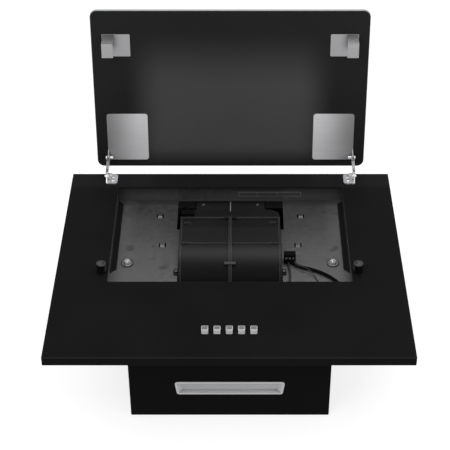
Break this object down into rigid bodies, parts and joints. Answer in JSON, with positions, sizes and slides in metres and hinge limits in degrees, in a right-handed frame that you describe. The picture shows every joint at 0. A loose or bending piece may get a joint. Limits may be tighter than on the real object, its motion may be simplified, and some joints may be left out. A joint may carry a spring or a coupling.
{
  "type": "range hood",
  "caption": "Flat wall-mounted range hood with a flip-up glass service panel on link hinges, a twin-inlet blower, a strip lamp, push buttons and a round duct collar.",
  "frame": {"origin": "centre of the four wall holes, on the outer face of the housing's back wall", "axes": "+X across the hood to the right as seen with the buttons near, +Y from the lower edge in use to the upper edge and along the duct collar, +Z away from the wall towards the front plate; the hood lies on its back"},
  "size_m": [0.6, 0.598, 0.5248],
  "materials": {
    "black_paint": "satin black powder coat",
    "zinc_sheet": "galvanised sheet, faint grain",
    "zinc_plated_steel": "zinc plated, satin",
    "brushed_zinc_plate": "brushed along its width, satin",
    "bright_zinc": "bright zinc plated",
    "satin_aluminium": "satin anodised",
    "frosted_diffuser": "frosted, translucent",
    "white_board": "white lacquer",
    "black_plastic": "moulded, fine texture",
    "gloss_black_plastic": "polished",
    "ferrite": "pressed ferrite, ground face",
    "black_sheath": "smooth cable sheath",
    "grey_sheath": "smooth cable sheath",
    "silver_button": "satin, turned",
    "black_glass": "toughened, enamelled black on its back",
    "motor_case": "grey lacquer",
    "steel_shaft": "ground steel"
  },
  "bodies": {
    "hood": {"front_plate": "black_paint", "side_rail_left": "black_paint", "side_rail_right": "black_paint", "tray": "zinc_sheet", "tray_fasteners": "bright_zinc", "housing_shell": "black_paint", "lamp_plate": "black_paint", "lamp_frame": "satin_aluminium", "lamp_diffuser": "frosted_diffuser", "led_board": "white_board", "led_driver": "black_plastic", "outlet_plate": "black_paint", "closing_strip": "black_paint", "duct_collar": "black_plastic", "collar_screws": "bright_zinc", "flap_rod": "steel_shaft", "volute_left": "black_plastic", "volute_right": "black_plastic", "outlet_duct": "black_plastic", "duct_screws": "bright_zinc", "blower_clips": "bright_zinc", "blower_screws": "bright_zinc", "motor": "motor_case", "motor_mount": "black_plastic", "terminal_block": "black_plastic", "wire_connector": "black_plastic", "capacitor": "satin_aluminium", "capacitor_lead": "black_sheath", "motor_lead": "black_sheath", "lamp_lead": "grey_sheath", "earth_lead": "grey_sheath", "switch_body": "black_plastic", "catch_post_left": "gloss_black_plastic", "catch_post_right": "gloss_black_plastic", "catch_magnets": "ferrite", "post_screws": "bright_zinc", "hinge_foot_left": "zinc_plated_steel", "hinge_foot_right": "zinc_plated_steel", "hinge_screws": "bright_zinc", "lower_pin_left": "bright_zinc", "lower_pin_right": "bright_zinc", "cable_gland": "black_plastic"},
    "hinge_arms": {"hinge_arm_left": "zinc_plated_steel", "hinge_arm_right": "zinc_plated_steel"},
    "panel": {"service_panel": "black_glass", "panel_bracket_left": "brushed_zinc_plate", "panel_bracket_right": "brushed_zinc_plate", "keeper_left": "brushed_zinc_plate", "keeper_right": "brushed_zinc_plate", "upper_pin_left": "bright_zinc", "upper_pin_right": "bright_zinc"},
    "blower_wheel": {"impeller": "black_plastic", "motor_shaft": "steel_shaft"},
    "button_1": {"button_1": "silver_button"},
    "button_2": {"button_2": "silver_button"},
    "button_3": {"button_3": "silver_button"},
    "button_4": {"button_4": "silver_button"},
    "button_5": {"button_5": "silver_button"},
    "flap_left": {"flap_left": "black_plastic"},
    "flap_right": {"flap_right": "black_plastic"}
  },
  "joints": [
    {"name": "link_swing", "type": "hinge", "parent": "hood", "child": "hinge_arms", "pos_m": [0, 0.1945, 0.23], "axis": [1, 0, 0], "range_deg": [0, 132.5]},
    {"name": "panel_tilt", "type": "hinge", "parent": "hinge_arms", "child": "panel", "pos_m": [0, 0.243, 0.24], "axis": [1, 0, 0], "range_deg": [-33.51, 0]},
    {"name": "button_1_press", "type": "slide", "parent": "hood", "child": "button_1", "axis": [0, 0, -1], "range_m": [0, 0.004], "stiffness_N_per_m": 400, "springref_m": -0.001},
    {"name": "button_2_press", "type": "slide", "parent": "hood", "child": "button_2", "axis": [0, 0, -1], "range_m": [0, 0.004], "stiffness_N_per_m": 400, "springref_m": -0.001},
    {"name": "button_3_press", "type": "slide", "parent": "hood", "child": "button_3", "axis": [0, 0, -1], "range_m": [0, 0.004], "stiffness_N_per_m": 400, "springref_m": -0.001},
    {"name": "button_4_press", "type": "slide", "parent": "hood", "child": "button_4", "axis": [0, 0, -1], "range_m": [0, 0.004], "stiffness_N_per_m": 400, "springref_m": -0.001},
    {"name": "button_5_press", "type": "slide", "parent": "hood", "child": "button_5", "axis": [0, 0, -1], "range_m": [0, 0.004], "stiffness_N_per_m": 400, "springref_m": -0.001},
    {"name": "wheel_spin", "type": "hinge", "parent": "hood", "child": "blower_wheel", "pos_m": [0, 0.007, 0.123], "axis": [1, 0, 0], "continuous": true},
    {"name": "flap_left_swing", "type": "hinge", "parent": "hood", "child": "flap_left", "pos_m": [0, 0.2153, 0.112], "axis": [0, 0, -1], "range_deg": [0, 80]},
    {"name": "flap_right_swing", "type": "hinge", "parent": "hood", "child": "flap_right", "pos_m": [0, 0.2153, 0.112], "axis": [0, 0, 1], "range_deg": [0, 80]}
  ],
  "couplings": [
    {"joint": "panel_tilt", "follows": "link_swing", "ratio": -0.25285}
  ]
}
